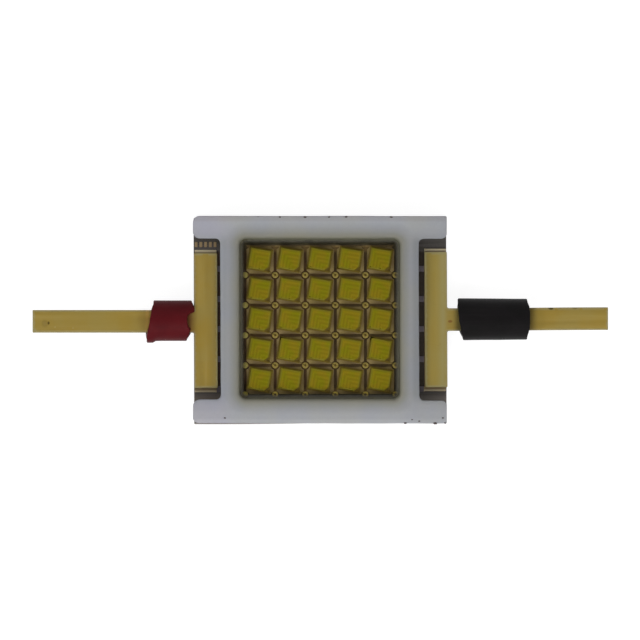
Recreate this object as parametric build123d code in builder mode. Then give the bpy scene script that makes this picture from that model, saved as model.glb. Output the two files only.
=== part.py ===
"""A five by five array of light-emitting dice on a ceramic base, with two ribbon leads.

Millimetres. X runs along the leads, from the red sleeve to the black one, Y is across the body and Z is up.
The origin is at the bottom centre, on the surface that the part lies on.
"""

from build123d import *
import os

# Dice and their phosphor plates
cells = 5
die_size = 1.00
die_thickness = 0.12
die_turn = -9.8
die_shift_x = -0.02
die_shift_y = 0.03
die_rim = 0.065
phosphor_thickness = 0.12
phosphor_cut = 0.19
phosphor_bevel = 0.04

# Metal pattern on the base
pattern_thickness = 0.03
pad_margin = 0.08
pad_gap = 0.11
land_diameter = 0.26
land_clearance = 0.08
land_sides = 12
bus_end_margin = 0.15
bus_edge_margin = 0.03
feed_width = 0.25
feed_drop = 0.37
mark_count = 5
mark_width = 0.12
mark_height = 0.22
mark_pitch = 0.20
mark_gap = 0.12

# Bond wires
wire_diameter = 0.04
ball_diameter = 0.10
ball_height = 0.025
ball_sides = 8
wire_loop = 0.07
wire_inset = 0.10
wire_level_share = 0.55

# Clear fill
fill_depth = 0.11
meniscus_rise = 0.12
meniscus_width = 0.24
meniscus_rim = 0.02

# Ceramic base and window frame
base_thickness = 1.00
back_pad_thickness = 0.04
back_pad_margin = 0.35
window_margin = 0.30
window_corner = 0.28
web_width = 0.77
rail_width = 0.98
lip_radius = 0.30
edge_bevel = 0.08
notch_rail = 0.99
notch_corner = 0.20
arm_overhang = 0.04
arm_corner = 0.28
arm_tip_corner = 0.22

# Leads
lead_thickness = 0.15
lead_reach = 6.81
bar_width = 0.95
bar_gap = 0.19
bar_clearance = 0.56
stem_width = 0.93
stem_fillet = 0.08
anode_stem_shift = -0.04
cathode_stem_shift = 0.035

# Shrink sleeves
sleeve_wall = 0.25
sleeve_clearance = 0.022
anode_sleeve_gap = 0.05
anode_sleeve_length = 1.99
anode_sleeve_slant = 0.30
anode_sleeve_notch = 0.25
anode_sleeve_nick = 0.08
cathode_sleeve_gap = 0.44
cathode_sleeve_length = 3.04
cathode_sleeve_slant = 0.25
cathode_sleeve_bow = 0.11

# Plan sizes, worked outward from one die to the body's edge
phosphor_size = die_size - 2 * die_rim
pad_size = die_size + 2 * pad_margin
pitch = pad_size + pad_gap
window_size = cells * pitch - pad_gap + 2 * window_margin
body_width = window_size + 2 * rail_width
notch_wall = window_size / 2 + web_width
bar_inner = notch_wall + bar_gap
body_end = bar_inner + bar_width
body_length = 2 * body_end
notch_length = body_width - 2 * notch_rail
bar_length = notch_length - 2 * bar_clearance
land_cut_radius = land_diameter / 2 + land_clearance

# Heights, worked upward from the surface that the part lies on
base_top = back_pad_thickness + base_thickness
pattern_top = base_top + pattern_thickness
die_top = pattern_top + die_thickness
phosphor_top = die_top + phosphor_thickness
fill_level = phosphor_top + fill_depth
fill_rim = fill_level + meniscus_rise
frame_top = fill_rim + lip_radius
lead_top = pattern_top + lead_thickness

# A sleeve is the tube that lies on that surface and just clears the top corners of the stem passing through it
sleeve_step = sleeve_wall + sleeve_clearance
sleeve_radius = ((stem_width / 2) ** 2 + lead_top**2 - sleeve_step**2) / (2 * (lead_top - sleeve_step))

# Centres of the cells, and of the lands at their corners: one more column of lands than of cells
cell_offsets = [(index - (cells - 1) / 2) * pitch for index in range(cells)]
cell_places = [(x, y) for x in cell_offsets for y in cell_offsets]
land_x_offsets = [cell_offsets[0] - pitch / 2] + [x + pitch / 2 for x in cell_offsets]
land_places = [(x, y - pitch / 2) for x in land_x_offsets for y in cell_offsets]


def die_plane(cell_x, cell_y, height):
    """The turned plane that the die of one cell is drawn on."""
    origin = (cell_x + die_shift_x, cell_y + die_shift_y, height)
    return Plane(origin).rotated((0, 0, die_turn))


def sleeve_tube(start, centre_y, side, length):
    """A plain tube along X that lies on the surface, running outward from start."""
    axis_plane = Plane(origin=(start, centre_y, sleeve_radius), x_dir=(0, 1, 0), z_dir=(side, 0, 0))
    with BuildPart() as tube:
        with BuildSketch(axis_plane):
            Circle(sleeve_radius)
            Circle(sleeve_radius - sleeve_wall, mode=Mode.SUBTRACT)
        extrude(amount=length)
    return tube.part


def save(piece, name):
    """Labels a finished piece and writes it under its node name."""
    piece.label = name
    export_step(piece, f"parts/{name}.step")


os.makedirs("parts", exist_ok=True)

# Soldering pad on the underside
with BuildPart() as back_pad:
    with BuildSketch(Plane.XY):
        Rectangle(body_length - 2 * back_pad_margin, body_width - 2 * back_pad_margin)
    extrude(amount=back_pad_thickness)
save(back_pad.part, "back_pad")

# Ceramic base
with BuildPart() as substrate:
    with BuildSketch(Plane.XY.offset(back_pad_thickness)):
        Rectangle(body_length, body_width)
    extrude(amount=base_thickness)
save(substrate.part, "substrate")

# Moulded frame: two long rails and two webs round the window, notches open at the ends for the lead bars,
# a soft inner lip and a bevelled outer edge. The arms on the red side are rounded and overhang the base; those on
# the black side are rounded only where they face the bar.
with BuildPart() as window_frame:
    with BuildSketch(Plane.XY.offset(base_top)) as frame_outline:
        with Locations((-arm_overhang / 2, 0)):
            Rectangle(body_length + arm_overhang, body_width)
        with Locations((notch_wall, 0)):
            Rectangle(body_length, notch_length, align=(Align.MIN, Align.CENTER), mode=Mode.SUBTRACT)
        with Locations((-notch_wall, 0)):
            Rectangle(body_length, notch_length, align=(Align.MAX, Align.CENTER), mode=Mode.SUBTRACT)
        fillet(frame_outline.vertices().filter_by_position(Axis.X, -notch_wall, notch_wall), notch_corner)
        fillet(frame_outline.vertices().group_by(Axis.X)[0], arm_corner)
        fillet(frame_outline.vertices().group_by(Axis.X)[-1].sort_by(Axis.Y)[1:-1], arm_tip_corner)
        RectangleRounded(window_size, window_size, window_corner, mode=Mode.SUBTRACT)
    extrude(amount=frame_top - base_top)
    top_face = window_frame.faces().sort_by(Axis.Z)[-1]
    fillet(top_face.inner_wires()[0].edges(), lip_radius)
    top_face = window_frame.faces().sort_by(Axis.Z)[-1]
    chamfer(top_face.outer_wire().edges(), edge_bevel)
save(window_frame.part, "window_frame")

# Metal on the base: die pads scalloped round the lands, the lands, both buses with their feeds, and index marks
with BuildPart() as gold_pattern:
    with BuildSketch(Plane.XY.offset(base_top)):
        with Locations(*cell_places):
            Rectangle(pad_size, pad_size)
        with GridLocations(pitch, pitch, cells + 1, cells + 1):
            RegularPolygon(land_cut_radius, land_sides, mode=Mode.SUBTRACT)
        with Locations(*land_places):
            RegularPolygon(land_diameter / 2, land_sides)
    extrude(amount=pattern_thickness)

    bus_length = bar_length + 2 * bus_end_margin
    with BuildSketch(Plane.XY.offset(base_top)) as anode_bus:
        with Locations((-bar_inner, 0)):
            Rectangle(bar_width - bus_edge_margin, bus_length, align=(Align.MAX, Align.CENTER))
        with Locations(*[(-bar_inner, y - feed_drop) for y in cell_offsets]):
            Rectangle(bar_gap, feed_width, align=(Align.MIN, Align.CENTER))
    extrude(amount=pattern_thickness)
    with BuildSketch(Plane.XY.offset(base_top)) as cathode_bus:
        with Locations((bar_inner, 0)):
            Rectangle(bar_width - bus_edge_margin, bus_length, align=(Align.MIN, Align.CENTER))
        with Locations(*[(bar_inner, y - feed_drop) for y in cell_offsets]):
            Rectangle(bar_gap, feed_width, align=(Align.MAX, Align.CENTER))
    extrude(amount=pattern_thickness)

    first_mark_x = -body_end + bus_edge_margin + mark_width / 2
    mark_y = (bus_length + mark_height) / 2 + mark_gap
    with BuildSketch(Plane.XY.offset(base_top)):
        with Locations(*[(first_mark_x + index * mark_pitch, mark_y) for index in range(mark_count)]):
            Rectangle(mark_width, mark_height)
    extrude(amount=pattern_thickness)
save(gold_pattern.part, "gold_pattern")

# One die and one phosphor plate in each cell, both turned a little, with the plate's corner cut for the bond
stacks = []
for row, cell_y in enumerate(reversed(cell_offsets), 1):
    for column, cell_x in enumerate(cell_offsets, 1):
        with BuildPart() as die:
            with BuildSketch(die_plane(cell_x, cell_y, pattern_top)):
                Rectangle(die_size, die_size)
            extrude(amount=die_thickness)
        save(die.part, f"die_r{row}_c{column}")

        with BuildPart() as phosphor:
            with BuildSketch(die_plane(cell_x, cell_y, die_top)) as plate:
                Rectangle(phosphor_size, phosphor_size)
                bond_corner = plate.vertices().group_by(Axis.Y)[0].sort_by(Axis.X)[-1]
                chamfer(bond_corner, phosphor_cut)
            extrude(amount=phosphor_thickness)
            chamfer(phosphor.faces().sort_by(Axis.Z)[-1].edges(), phosphor_bevel)
        save(phosphor.part, f"phosphor_r{row}_c{column}")
        stacks += [die.part, phosphor.part]

# One fine wire for each die: a ball on the land at its lower right, a rise, a level run and a slope to the die's corner
wire_height = die_thickness + wire_loop
ball_centre = Vector(pitch / 2, -pitch / 2, pattern_top)
foot_inset = die_size / 2 - wire_inset
foot = die_plane(0, 0, die_top).from_local_coords(Vector(foot_inset, -foot_inset, wire_diameter / 2))
wire_direction = Vector(foot.X - ball_centre.X, foot.Y - ball_centre.Y, 0)
wire_base = ball_centre + Vector(0, 0, ball_height / 2)
wire_shoulder = ball_centre + Vector(0, 0, wire_height)
with BuildPart() as one_wire:
    with BuildSketch(Plane(ball_centre)):
        RegularPolygon(ball_diameter / 2, ball_sides)
    extrude(amount=ball_height)
    with BuildLine() as wire_path:
        Polyline(wire_base, wire_shoulder, wire_shoulder + wire_direction * wire_level_share, foot)
    with BuildSketch(Plane(wire_base, x_dir=wire_direction)):
        Rectangle(wire_diameter, wire_diameter)
    sweep(path=wire_path.wire(), transition=Transition.RIGHT)

with BuildPart() as bond_wires:
    with Locations(*cell_places):
        add(one_wire.part)
save(bond_wires.part, "bond_wires")

# Clear fill inside the window, cast round the dice and wires, with its surface drawn up along the wall
with BuildPart() as dish:
    with BuildSketch(Plane.XY.offset(fill_level)):
        dish_size = window_size - 2 * meniscus_rim
        RectangleRounded(dish_size, dish_size, window_corner - meniscus_rim)
    extrude(amount=2 * meniscus_rise)
    chamfer(dish.faces().sort_by(Axis.Z)[0].edges(), meniscus_rise, meniscus_width)

with BuildPart() as encapsulant:
    with BuildSketch(Plane.XY.offset(pattern_top)):
        RectangleRounded(window_size, window_size, window_corner)
    extrude(amount=fill_rim - pattern_top)
    add(dish.part, mode=Mode.SUBTRACT)
    add(stacks, mode=Mode.SUBTRACT)
    add(bond_wires.part, mode=Mode.SUBTRACT)
save(encapsulant.part, "encapsulant")

# Ribbon leads: a bar on each bus and a stem that runs straight out over the edge, with small fillets at its root
with BuildPart() as anode_lead:
    with BuildSketch(Plane.XY.offset(pattern_top)) as anode_outline:
        with Locations((-bar_inner, 0)):
            Rectangle(bar_width, bar_length, align=(Align.MAX, Align.CENTER))
        with Locations((-body_end, anode_stem_shift)):
            Rectangle(lead_reach, stem_width, align=(Align.MAX, Align.CENTER))
        fillet(anode_outline.vertices().group_by(Axis.X)[1].sort_by(Axis.Y)[1:-1], stem_fillet)
    extrude(amount=lead_thickness)
save(anode_lead.part, "anode_lead")

with BuildPart() as cathode_lead:
    with BuildSketch(Plane.XY.offset(pattern_top)) as cathode_outline:
        with Locations((bar_inner, 0)):
            Rectangle(bar_width, bar_length, align=(Align.MIN, Align.CENTER))
        with Locations((body_end, cathode_stem_shift)):
            Rectangle(lead_reach, stem_width, align=(Align.MIN, Align.CENTER))
        fillet(cathode_outline.vertices().group_by(Axis.X)[-2].sort_by(Axis.Y)[1:-1], stem_fillet)
    extrude(amount=lead_thickness)
save(cathode_lead.part, "cathode_lead")

# Red sleeve: its inner end is torn to a notch and a nick, its outer end is cut at a slant
anode_near = -body_end - anode_sleeve_gap
anode_far = anode_near - anode_sleeve_length
anode_upper = anode_stem_shift + sleeve_radius
anode_lower = anode_stem_shift - sleeve_radius
with BuildPart() as anode_sleeve:
    add(sleeve_tube(anode_near, anode_stem_shift, -1, anode_sleeve_length))
    with BuildSketch(Plane.XY):
        with BuildLine():
            Polyline(
                (anode_far + anode_sleeve_slant, anode_upper),
                (anode_near, anode_upper),
                (anode_near - anode_sleeve_notch, anode_stem_shift),
                (anode_near - anode_sleeve_nick, anode_stem_shift - sleeve_radius / 2),
                (anode_near - anode_sleeve_notch, anode_lower),
                (anode_far, anode_lower),
                close=True,
            )
        make_face()
    extrude(amount=2 * sleeve_radius, mode=Mode.INTERSECT)
save(anode_sleeve.part, "anode_sleeve")

# Black sleeve: its inner end is cut at a slant, its outer end is slightly bowed
cathode_near = body_end + cathode_sleeve_gap
cathode_far = cathode_near + cathode_sleeve_length
cathode_upper = cathode_stem_shift + sleeve_radius
cathode_lower = cathode_stem_shift - sleeve_radius
with BuildPart() as cathode_sleeve:
    add(sleeve_tube(cathode_near, cathode_stem_shift, 1, cathode_sleeve_length))
    with BuildSketch(Plane.XY):
        with BuildLine():
            Polyline(
                (cathode_far - cathode_sleeve_bow, cathode_lower),
                (cathode_near + cathode_sleeve_slant, cathode_lower),
                (cathode_near, cathode_upper),
                (cathode_far - cathode_sleeve_bow, cathode_upper),
            )
            ThreePointArc(
                (cathode_far - cathode_sleeve_bow, cathode_upper),
                (cathode_far, cathode_stem_shift),
                (cathode_far - cathode_sleeve_bow, cathode_lower),
            )
        make_face()
    extrude(amount=2 * sleeve_radius, mode=Mode.INTERSECT)
save(cathode_sleeve.part, "cathode_sleeve")
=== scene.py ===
"""Looks of the LED array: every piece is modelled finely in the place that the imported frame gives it.

Lengths in this script are millimetres, in the frame's own axes. They become metres where a mesh is made.
"""

from math import atan2, ceil, cos, hypot, pi, radians, sin, sqrt, tan

import bpy
from mathutils import Matrix, Vector, kdtree, noise
from mathutils.geometry import delaunay_2d_cdt


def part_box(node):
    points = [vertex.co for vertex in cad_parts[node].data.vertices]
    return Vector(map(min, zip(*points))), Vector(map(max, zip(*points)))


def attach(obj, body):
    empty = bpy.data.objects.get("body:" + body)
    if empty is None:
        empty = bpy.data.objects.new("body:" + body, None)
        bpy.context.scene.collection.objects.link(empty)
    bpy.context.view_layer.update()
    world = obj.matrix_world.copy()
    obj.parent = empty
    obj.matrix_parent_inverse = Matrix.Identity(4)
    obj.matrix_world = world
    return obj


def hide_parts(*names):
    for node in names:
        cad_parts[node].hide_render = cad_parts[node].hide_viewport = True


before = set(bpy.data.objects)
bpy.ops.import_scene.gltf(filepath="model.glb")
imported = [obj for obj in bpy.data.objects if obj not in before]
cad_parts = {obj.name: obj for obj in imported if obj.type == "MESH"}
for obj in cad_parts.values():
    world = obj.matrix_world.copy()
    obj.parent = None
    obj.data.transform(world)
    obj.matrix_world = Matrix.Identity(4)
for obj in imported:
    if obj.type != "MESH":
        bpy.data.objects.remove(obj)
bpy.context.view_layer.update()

MM = 0.001


def node_box(node):
    """Lowest and highest corner of a CAD node, in millimetres."""
    low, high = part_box(node)
    return low / MM, high / MM


# Places taken from the frame
base_high = node_box("substrate")[1]
moulding_low, moulding_high = node_box("window_frame")
gel_high = node_box("encapsulant")[1]
die_low, die_high = node_box("die_r1_c1")
cathode_low, cathode_high = node_box("cathode_lead")

base_top = base_high.z
pattern_top = node_box("gold_pattern")[1].z
die_top = die_high.z
plate_top = node_box("phosphor_r1_c1")[1].z
fill_rim = gel_high.z
moulding_top = moulding_high.z
lead_top = cathode_high.z
window_half = gel_high.x
body_end = base_high.x
body_half = base_high.y
arm_end = moulding_low.x
bar_inner = cathode_low.x
bar_half = cathode_high.y
pitch = node_box("die_r1_c2")[0].x - die_low.x
cells = 5

# Sizes that the frame's boxes don't give. The moulding's openings sit a little up and to the left of
# the dice, the bars and the webs' outer faces lean a little, and the buses' ends differ left and right.
shift_x = -0.027
shift_y = 0.070
window_reach = window_half - 0.050
window_corner = 0.28
notch_shift_x = -0.024
left_notch = (-3.341, 3.445)
right_notch = (-3.383, 3.432)
notch_half = 3.40
notch_wall = 4.184
lean = 0.0048
notch_corner = 0.20
arm_corner = 0.29
arm_foot_corner = 0.24
arm_tip_corner = 0.22
sharp_corner = 0.06
lip_width = 0.30
edge_width = 0.26
edge_drop = 0.05
long_side = 3.8
die_size = 1.00
die_turn = radians(-9.8)
plate_size = 0.87
plate_cut = 0.19
plate_round = 0.045
pad_size = 1.15
land_radius = 0.128
scallop_radius = 0.187
last_land_rise = 0.045
feed_width = 0.25
feed_drop = 0.37
left_bus = (-3.042, 2.964)
right_bus = (-2.996, 3.020)
bus_edge_margin = 0.03
mark_count = 5
mark_width = 0.12
mark_height = 0.22
mark_pitch = 0.20
mark_gap = 0.12
stem_width = 0.957
stem_fillet = 0.08
lead_round = 0.03
sleeve_wall = 0.25
wire_radius = 0.014
contact_height = 0.006

cell_offsets = [(index - (cells - 1) / 2) * pitch for index in range(cells)]
cell_centres = [(x, y) for x in cell_offsets for y in cell_offsets]
window_plan = [
    (shift_x + side_x * window_reach, shift_y + side_y * window_reach, window_corner)
    for side_x, side_y in ((-1, -1), (1, -1), (1, 1), (-1, 1))
]


# Outlines

def corner_arc(corners, index, inset, pieces):
    """Points of one rounded corner of a closed anticlockwise outline that is moved inward by inset."""
    here = Vector(corners[index][:2])
    into = (here - Vector(corners[index - 1][:2])).normalized()
    out = (Vector(corners[(index + 1) % len(corners)][:2]) - here).normalized()
    normal_into = Vector((-into.y, into.x))
    normal_out = Vector((-out.y, out.x))
    here = here + (normal_into + normal_out) * (inset / (1 + normal_into.dot(normal_out)))
    turn = atan2(into.x * out.y - into.y * out.x, into.dot(out))
    side = 1 if turn > 0 else -1
    radius = max(corners[index][2] - side * inset, 0.002)
    start = here - into * radius * tan(abs(turn) / 2)
    centre = start + normal_into * radius * side
    return [centre + Matrix.Rotation(turn * k / pieces, 2) @ (start - centre) for k in range(pieces + 1)]


def outline(corners, inset=0.0, step=0.15, pieces=8):
    """A closed outline with rounded corners (x, y, radius). It has as many points at any inset."""
    count = len(corners)
    plain = [corner_arc(corners, index, 0.0, pieces) for index in range(count)]
    moved = [corner_arc(corners, index, inset, pieces) for index in range(count)]
    points = []
    for index in range(count):
        after = (index + 1) % count
        parts = max(1, round((plain[after][0] - plain[index][-1]).length / step))
        points += moved[index]
        points += [moved[index][-1].lerp(moved[after][0], k / parts) for k in range(1, parts)]
    return points


def circle(centre, radius, count=28):
    """Points of a circle, anticlockwise."""
    return [
        Vector((centre[0] + radius * cos(2 * pi * k / count), centre[1] + radius * sin(2 * pi * k / count)))
        for k in range(count)
    ]


def box_corners(low_x, low_y, high_x, high_y, radius):
    """The corners of an upright rectangle with one radius."""
    plan = ((low_x, low_y), (high_x, low_y), (high_x, high_y), (low_x, high_y))
    return [(x, y, radius) for x, y in plan]


def inside(point, polygon):
    """True if a point lies in a closed polygon."""
    x, y = point
    hit = False
    for a, b in zip(polygon, polygon[1:] + polygon[:1]):
        if (a[1] > y) != (b[1] > y) and x < (b[0] - a[0]) * (y - a[1]) / (b[1] - a[1]) + a[0]:
            hit = not hit
    return hit


class Shell:
    """Collects the points and faces of one mesh, in millimetres."""

    def __init__(self):
        self.points = []
        self.faces = []

    def row(self, points):
        """Adds points in space and returns their numbers."""
        first = len(self.points)
        self.points += [Vector(p) for p in points]
        return list(range(first, len(self.points)))

    def ring(self, outline_points, height):
        """Adds a closed ring of points at one height and returns their numbers."""
        return self.row([(p[0], p[1], height) for p in outline_points])

    def bridge(self, lower, upper):
        """Joins two closed rings with four-sided faces that look outward from an anticlockwise ring."""
        for k in range(len(lower)):
            n = (k + 1) % len(lower)
            self.faces.append((lower[k], lower[n], upper[n], upper[k]))

    def skin(self, rings, outward=True):
        """Joins each ring to the next one, with faces that look outward or inward."""
        for lower, upper in zip(rings, rings[1:]):
            if outward:
                self.bridge(lower, upper)
            else:
                self.bridge(upper, lower)

    def cap(self, outer, holes=(), spacing=None, upward=True):
        """Fills the area inside a ring and outside the holes, with inner points at this spacing."""
        rings = [outer, *holes]
        numbers = [number for ring in rings for number in ring]
        flat = [self.points[number].xy for number in numbers]
        height = self.points[outer[0]].z
        edges = []
        for ring in rings:
            first = len(edges)
            edges += [(first + k, first + (k + 1) % len(ring)) for k in range(len(ring))]
        outer_flat = [self.points[number].xy for number in outer]
        holes_flat = [[self.points[number].xy for number in hole] for hole in holes]

        def filled(point):
            return inside(point, outer_flat) and not any(inside(point, hole) for hole in holes_flat)

        if spacing:
            edge_tree = kdtree.KDTree(len(flat))
            for number, point in enumerate(flat):
                edge_tree.insert((point.x, point.y, 0), number)
            edge_tree.balance()
            low = Vector((min(p.x for p in outer_flat), min(p.y for p in outer_flat)))
            high = Vector((max(p.x for p in outer_flat), max(p.y for p in outer_flat)))
            for row in range(1, ceil((high.y - low.y) / spacing)):
                for column in range(1, ceil((high.x - low.x) / spacing)):
                    point = low + Vector(((column + 0.5 * (row % 2)) * spacing, row * spacing))
                    clear = edge_tree.find((point.x, point.y, 0))[2] > 0.55 * spacing
                    if clear and filled(point):
                        numbers.append(len(self.points))
                        self.points.append(Vector((point.x, point.y, height)))
                        flat.append(point)
        made, _, triangles, origins, _, _ = delaunay_2d_cdt(flat, edges, [], 0, 1e-7)
        for triangle in triangles:
            centre = sum((made[k] for k in triangle), Vector((0, 0))) / 3
            if filled(centre):
                face = [numbers[origins[k][0]] for k in triangle]
                self.faces.append(tuple(face if upward else reversed(face)))

    def build(self, name, *materials, sharp=radians(50)):
        """Makes the object in metres, smooth but for edges sharper than an angle."""
        mesh = bpy.data.meshes.new(name)
        mesh.from_pydata([p * MM for p in self.points], [], self.faces)
        mesh.validate()
        mesh.shade_smooth()
        mesh.set_sharp_from_angle(angle=sharp)
        piece = bpy.data.objects.new(name, mesh)
        bpy.context.scene.collection.objects.link(piece)
        for material in materials:
            mesh.materials.append(material)
        return piece


def stack(shell, outline_at, profile, spacing=None, closed_bottom=True):
    """A closed solid: rings up a profile of (inset, height), and flat ends. Returns the rings."""
    rings = [shell.ring(outline_at(inset), height) for inset, height in profile]
    shell.skin(rings)
    shell.cap(rings[-1], spacing=spacing)
    if closed_bottom:
        shell.cap(rings[0], upward=False)
    return rings


def rounded_profile(bottom, top, radius, pieces=4, foot=0.0, drop=None):
    """(inset, height) pairs up a wall with a chamfer at its foot and a round, drop high, at its top."""
    drop = drop or radius
    profile = [(foot, bottom), (0.0, bottom + foot)] if foot else [(0.0, bottom)]
    for k in range(pieces + 1):
        angle = pi / 2 * k / pieces
        profile.append((radius * (1 - cos(angle)), top - drop + drop * sin(angle)))
    return profile


def swell(point, size, seed):
    """Smooth noise from -1 to 1 that changes over this many millimetres."""
    x, y, z = (value / size for value in point)
    return noise.noise(Vector((x + seed, y - seed, z + 2 * seed)))


def smooth(value, low, high):
    """0 below low, 1 above high and a smooth step between."""
    t = min(max((value - low) / (high - low), 0.0), 1.0)
    return t * t * (3 - 2 * t)


def window_distance(x, y):
    """Distance outward from the window's wall; negative inside the window."""
    qx = abs(x - shift_x) - (window_reach - window_corner)
    qy = abs(y - shift_y) - (window_reach - window_corner)
    return hypot(max(qx, 0), max(qy, 0)) + min(max(qx, qy), 0) - window_corner


# Materials

def srgb(red, green, blue):
    """A colour given as the photograph's 0 to 255 values, as linear RGBA."""
    values = [v / 255 for v in (red, green, blue)]
    return [v / 12.92 if v <= 0.04045 else ((v + 0.055) / 1.055) ** 2.4 for v in values] + [1.0]


class Graph:
    """The nodes of a material or of the surround, with short calls for the ones used here."""

    def __init__(self, name, world=False):
        self.owner = (bpy.data.worlds if world else bpy.data.materials).new(name)
        self.owner.use_nodes = True
        self.nodes = self.owner.node_tree.nodes
        self.links = self.owner.node_tree.links
        self.nodes.clear()
        self.output = self.nodes.new("ShaderNodeOutputWorld" if world else "ShaderNodeOutputMaterial")

    def put(self, socket, value):
        """Links a socket, or sets its value."""
        if isinstance(value, bpy.types.NodeSocket):
            self.links.new(value, socket)
        else:
            socket.default_value = value

    def node(self, kind, inputs=None, **settings):
        """Makes a node with these settings, links or sets its inputs and returns its outputs."""
        node = self.nodes.new("ShaderNode" + kind)
        for setting, value in settings.items():
            setattr(node, setting, value)
        for socket, value in (inputs or {}).items():
            self.put(node.inputs[socket], value)
        return node.outputs

    def end(self, shader):
        """Ends the graph in a shader and returns the material, or the surround."""
        self.links.new(shader, self.output.inputs["Surface"])
        return self.owner

    def place(self, stretch=(1, 1, 1)):
        """The point in the frame, in millimetres, stretched along the axes."""
        point = self.node("TexCoord")["Object"]
        scale = [s / MM for s in stretch]
        return self.node("VectorMath", {0: point, 1: scale}, operation="MULTIPLY")[0]

    def sides(self, vector=None):
        """The x, y and z of a vector, or of the point in the frame."""
        return self.node("SeparateXYZ", {0: vector or self.place()})

    def math(self, operation, a, b=0.0, c=0.0):
        """One step of arithmetic."""
        return self.node("Math", {0: a, 1: b, 2: c}, operation=operation)[0]

    def plus(self, a, b):
        """The sum of two values."""
        return self.math("ADD", a, b)

    def less(self, a, b):
        """The first value less the second."""
        return self.math("SUBTRACT", a, b)

    def times(self, product, *factors):
        """The product of values."""
        for factor in factors:
            product = self.math("MULTIPLY", product, factor)
        return product

    def over(self, a, b):
        """The first value divided by the second."""
        return self.math("DIVIDE", a, b)

    def least(self, a, b):
        """The lower of two values."""
        return self.math("MINIMUM", a, b)

    def most(self, a, b):
        """The higher of two values."""
        return self.math("MAXIMUM", a, b)

    def size(self, value):
        """A value without its sign."""
        return self.math("ABSOLUTE", value)

    def length(self, x, y):
        """The length of a vector in the plan."""
        return self.math("SQRT", self.plus(self.math("POWER", x, 2.0), self.math("POWER", y, 2.0)))

    def in_cell(self, value):
        """A place as its distance from the middle of its cell, with a sign."""
        return self.math("WRAP", value, pitch / 2, -pitch / 2)

    def span(self, value, low, high, to_low=0.0, to_high=1.0, kind="SMOOTHSTEP"):
        """A value's share of the way from low to high."""
        limits = {"From Min": low, "From Max": high, "To Min": to_low, "To Max": to_high}
        return self.node("MapRange", {"Value": value, **limits}, interpolation_type=kind)[0]

    def noise(self, scale, detail=3.0, rough=0.5, stretch=(1, 1, 1)):
        """Noise from 0 to 1 in the frame."""
        inputs = {"Vector": self.place(stretch), "Scale": scale, "Detail": detail, "Roughness": rough}
        return self.node("TexNoise", inputs)["Fac"]

    def mix(self, share, a, b, kind="MIX"):
        """Two colours mixed."""
        return self.node("Mix", {0: share, 6: a, 7: b}, data_type="RGBA", blend_type=kind)[2]

    def blend(self, share, a, b):
        """Two values mixed."""
        return self.plus(self.times(a, self.less(1.0, share)), self.times(b, share))

    def layers(self, colour, *layers):
        """A colour with others mixed over it in turn, each by its share."""
        for share, other in layers:
            colour = self.mix(share, colour, other)
        return colour

    def tints(self, colour, *layers):
        """A colour multiplied in turn by factors for red, green and blue, each by its share."""
        for share, factor in layers:
            colour = self.mix(share, colour, (*factor, 1), "MULTIPLY")
        return colour

    def ramp(self, value, stops):
        """A colour ramp of (place, colour) stops."""
        node = self.nodes.new("ShaderNodeValToRGB")
        self.put(node.inputs[0], value)
        elements = node.color_ramp.elements
        while len(elements) < len(stops):
            elements.new(0.5)
        for element, (place, colour) in zip(elements, stops):
            element.position = place
            element.color = colour
        return node.outputs[0]

    def bump(self, height, depth, strength=1.0):
        """A bump of this depth in millimetres."""
        return self.node("Bump", {"Strength": strength, "Distance": depth * MM, "Height": height})[0]

    def window_distance(self):
        """Distance outward from the window's wall, in millimetres; negative inside the window."""
        x, y, _ = self.sides()
        reach = window_reach - window_corner
        qx = self.less(self.size(self.less(x, shift_x)), reach)
        qy = self.less(self.size(self.less(y, shift_y)), reach)
        corner = self.length(self.most(qx, 0.0), self.most(qy, 0.0))
        flat = self.least(self.most(qx, qy), 0.0)
        return self.less(self.plus(corner, flat), window_corner)

    def surface(self, colour, roughness, normal, metallic=0.0, specular=0.5):
        """Ends the graph in a Principled surface."""
        inputs = {"Base Color": colour, "Roughness": roughness, "Metallic": metallic, "Normal": normal}
        return self.end(self.node("BsdfPrincipled", {"Specular IOR Level": specular, **inputs})[0])

    def mix_shader(self, share, a, b):
        """Two shaders mixed."""
        return self.node("MixShader", {0: share, 1: a, 2: b})[0]

    def grainy_surface(self, colour, grain, rough, depth, metallic=0.0, strength=0.5, specular=0.25):
        """Ends the graph in a surface whose grain varies its roughness and its height."""
        roughness = self.span(grain, 0.3, 0.7, *rough)
        return self.surface(colour, roughness, self.bump(grain, depth, strength), metallic, specular)


# Marks on the ribbons: middle, half length, half width, strength and colour
lead_marks = [
    (-11.62, -0.14, 0.15, 0.17, 0.35, srgb(120, 102, 50)),
    (-11.62, -0.14, 0.09, 0.10, 0.45, srgb(150, 130, 72)),
    (-11.46, -0.12, 0.045, 0.07, 0.90, srgb(84, 68, 28)),
    (-11.19, -0.29, 0.04, 0.03, 0.80, srgb(176, 156, 96)),
    (-10.43, -0.33, 0.05, 0.03, 0.70, srgb(172, 152, 92)),
    (-7.15, -0.02, 0.55, 0.60, 0.30, srgb(124, 92, 46)),
    (5.48, -0.05, 0.10, 0.06, 0.75, srgb(128, 82, 44)),
    (9.10, 0.05, 0.42, 0.60, 0.30, srgb(150, 128, 56)),
    (9.73, 0.50, 0.11, 0.06, 0.90, srgb(78, 68, 36)),
    (10.75, 0.52, 0.12, 0.05, 0.60, srgb(104, 90, 48)),
    (5.15, 2.35, 0.16, 0.30, 0.25, srgb(160, 142, 96)),
]


# Painted shadow on the ribbons beside the sleeves' ends, and painted light left of the red sleeve: place,
# reach and tint
sleeve_end_light_and_shade = [
    (-7.28, 0.16, (1.42, 1.32, 1.40)),
    (-5.66, 0.52, (0.45, 0.24, 0.40)),
    (5.90, 0.38, (0.32, 0.36, 0.46)),
    (8.84, 0.38, (0.50, 0.50, 0.58)),
]


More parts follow.
